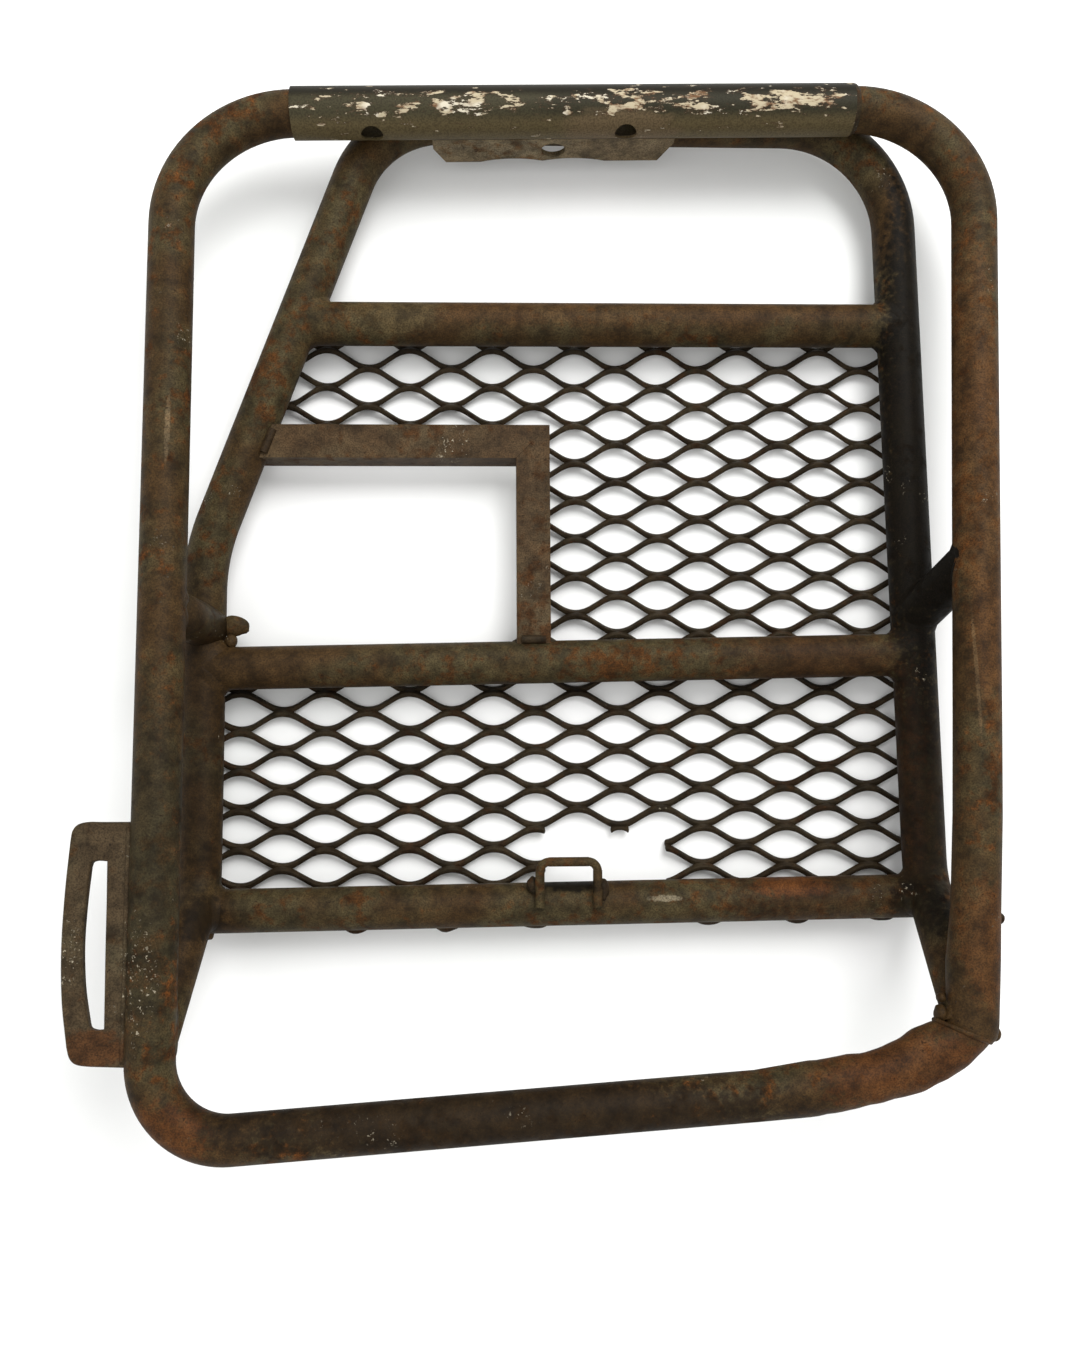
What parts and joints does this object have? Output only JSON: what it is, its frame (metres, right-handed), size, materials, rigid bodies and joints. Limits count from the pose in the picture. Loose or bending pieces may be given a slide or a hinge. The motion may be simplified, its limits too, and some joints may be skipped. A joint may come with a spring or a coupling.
{
  "type": "front grille guard",
  "caption": "Welded steel tube grille guard: a bent outer hoop over a smaller inner frame with crossbars, an expanded-metal grille, a cut-out window and bolt-on plates.",
  "frame": {"origin": "under the middle of the whole guard, on the surface that its grille lies on", "axes": "+Z off the surface the guard lies on, towards the outer hoop; +Y along the guard towards its sleeved top bar; +X to the right seen from the hoop's side. On a vehicle +Y points up."},
  "size_m": [0.5188, 0.6052, 0.1125],
  "materials": {
    "rusted_tube": "weathered dark paint over rusting steel",
    "painted_sleeve": "worn dark green-grey paint with pale chips",
    "plate_steel": "dull grey-brown weathered steel",
    "expanded_metal": "dark brown weathered paint",
    "weld_metal": "rough rusted weld"
  },
  "bodies": {
    "root": {"hoop_left_tube": "rusted_tube", "hoop_right_tube": "rusted_tube", "top_sleeve": "painted_sleeve", "mounting_plate": "plate_steel", "grille_hoop": "rusted_tube", "upper_crossbar": "rusted_tube", "middle_crossbar": "rusted_tube", "lower_crossbar": "rusted_tube", "window_top_rail": "plate_steel", "window_side_rail": "plate_steel", "mesh_top_strip": "expanded_metal", "mesh_side_panel": "expanded_metal", "mesh_lower_panel": "expanded_metal", "left_strut": "rusted_tube", "right_strut": "rusted_tube", "slotted_plate": "plate_steel", "lock_staple": "plate_steel", "sleeve_end_weld": "weld_metal", "mounting_plate_weld": "weld_metal", "upper_bar_welds": "weld_metal", "middle_bar_welds": "weld_metal", "lower_bar_welds": "weld_metal", "strut_welds": "weld_metal", "leg_foot_welds": "weld_metal", "hoop_corner_weld": "weld_metal", "window_frame_welds": "weld_metal", "staple_welds": "weld_metal", "slotted_plate_weld": "weld_metal", "mesh_tack_welds": "weld_metal", "leg_weld_nub": "weld_metal"}
  },
  "joints": []
}
